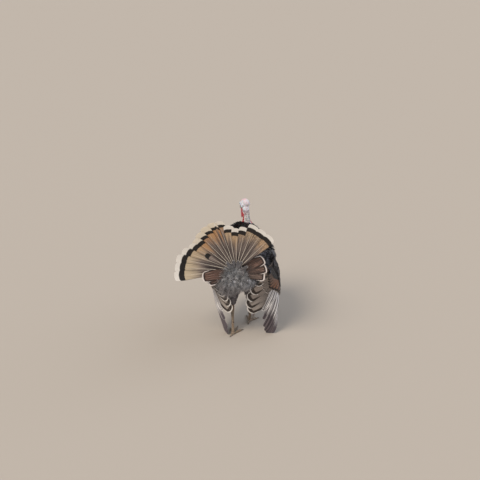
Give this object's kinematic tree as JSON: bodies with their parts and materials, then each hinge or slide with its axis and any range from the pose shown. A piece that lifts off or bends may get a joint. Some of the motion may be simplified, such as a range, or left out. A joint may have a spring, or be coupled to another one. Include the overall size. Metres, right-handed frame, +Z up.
{
  "type": "domestic turkey",
  "caption": "Life-size still figure of a domestic turkey gobbler in full strut, fan raised, wings drooped to the floor.",
  "frame": {"origin": "on the floor, under the middle of the bird's bounding box", "axes": "+Z up, -Y the way the bird faces, +X the bird's left"},
  "size_m": [0.639, 0.6308, 0.8856],
  "materials": {
    "body_feathers": "silky feather vane with a faint bronze sheen",
    "fluff": "soft loose down",
    "tail_feathers": "smooth feather vane",
    "tail_coverts": "smooth feather vane",
    "wing_feathers": "smooth stiff feather vane",
    "bare_skin": "thin folded skin",
    "wattle_skin": "thick wrinkled skin",
    "horn": "smooth horn",
    "leg_scales": "overlapping leg scales",
    "claw_horn": "smooth horn",
    "eye": "wet gloss",
    "beard_bristle": "coarse bristle"
  },
  "bodies": {
    "root": {"trunk": "body_feathers", "vent": "fluff", "tail_fan": "tail_feathers", "upper_tail_coverts": "tail_coverts", "under_tail_coverts": "fluff", "left_side_coverts": "tail_coverts", "right_side_coverts": "tail_coverts", "neck": "bare_skin", "head": "bare_skin", "upper_bill": "horn", "lower_bill": "horn", "left_eye": "eye", "right_eye": "eye", "snood": "wattle_skin", "dewlap": "wattle_skin", "caruncles": "wattle_skin", "beard": "beard_bristle", "left_wing_coverts": "wing_feathers", "left_secondaries": "wing_feathers", "left_primaries": "wing_feathers", "left_thigh": "body_feathers", "left_shank": "leg_scales", "left_foot": "leg_scales", "left_spur": "claw_horn", "left_inner_claw": "claw_horn", "left_middle_claw": "claw_horn", "left_outer_claw": "claw_horn", "left_hind_claw": "claw_horn", "right_wing_coverts": "wing_feathers", "right_secondaries": "wing_feathers", "right_primaries": "wing_feathers", "right_thigh": "body_feathers", "right_shank": "leg_scales", "right_foot": "leg_scales", "right_spur": "claw_horn", "right_inner_claw": "claw_horn", "right_middle_claw": "claw_horn", "right_outer_claw": "claw_horn", "right_hind_claw": "claw_horn"}
  },
  "joints": []
}
